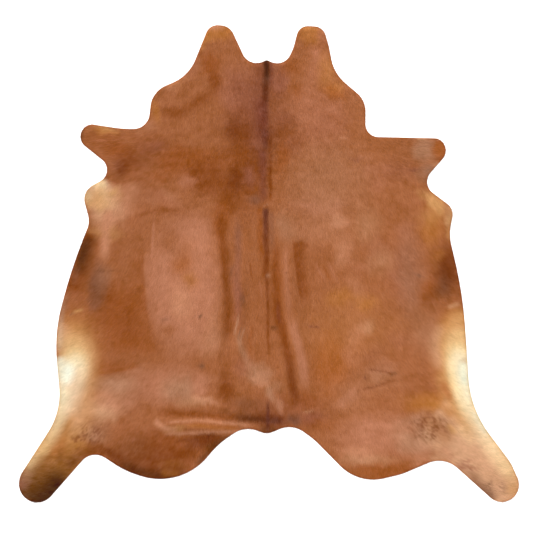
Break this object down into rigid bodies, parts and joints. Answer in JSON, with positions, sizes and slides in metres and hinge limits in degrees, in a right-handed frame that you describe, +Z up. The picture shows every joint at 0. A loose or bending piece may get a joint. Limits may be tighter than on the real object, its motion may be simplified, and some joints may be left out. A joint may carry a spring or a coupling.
{
  "type": "cowhide rug",
  "caption": "Whole tanned cowhide, hair on, caramel brown with cream flanks, lying flat on the floor as a rug.",
  "frame": {"origin": "on the floor, under the middle of the hide's outline", "axes": "+Z up through the hair side, +Y towards the neck, +X across the hide to its right-hand flank as seen from above with the neck away from the viewer"},
  "size_m": [2.153, 2.0548, 0.0173],
  "materials": {
    "cowhair": "short glossy caramel-brown hair on tanned skin, cream at the flanks, dark along the spine; plain suede below"
  },
  "bodies": {
    "root": {"hide": "cowhair"}
  },
  "joints": []
}
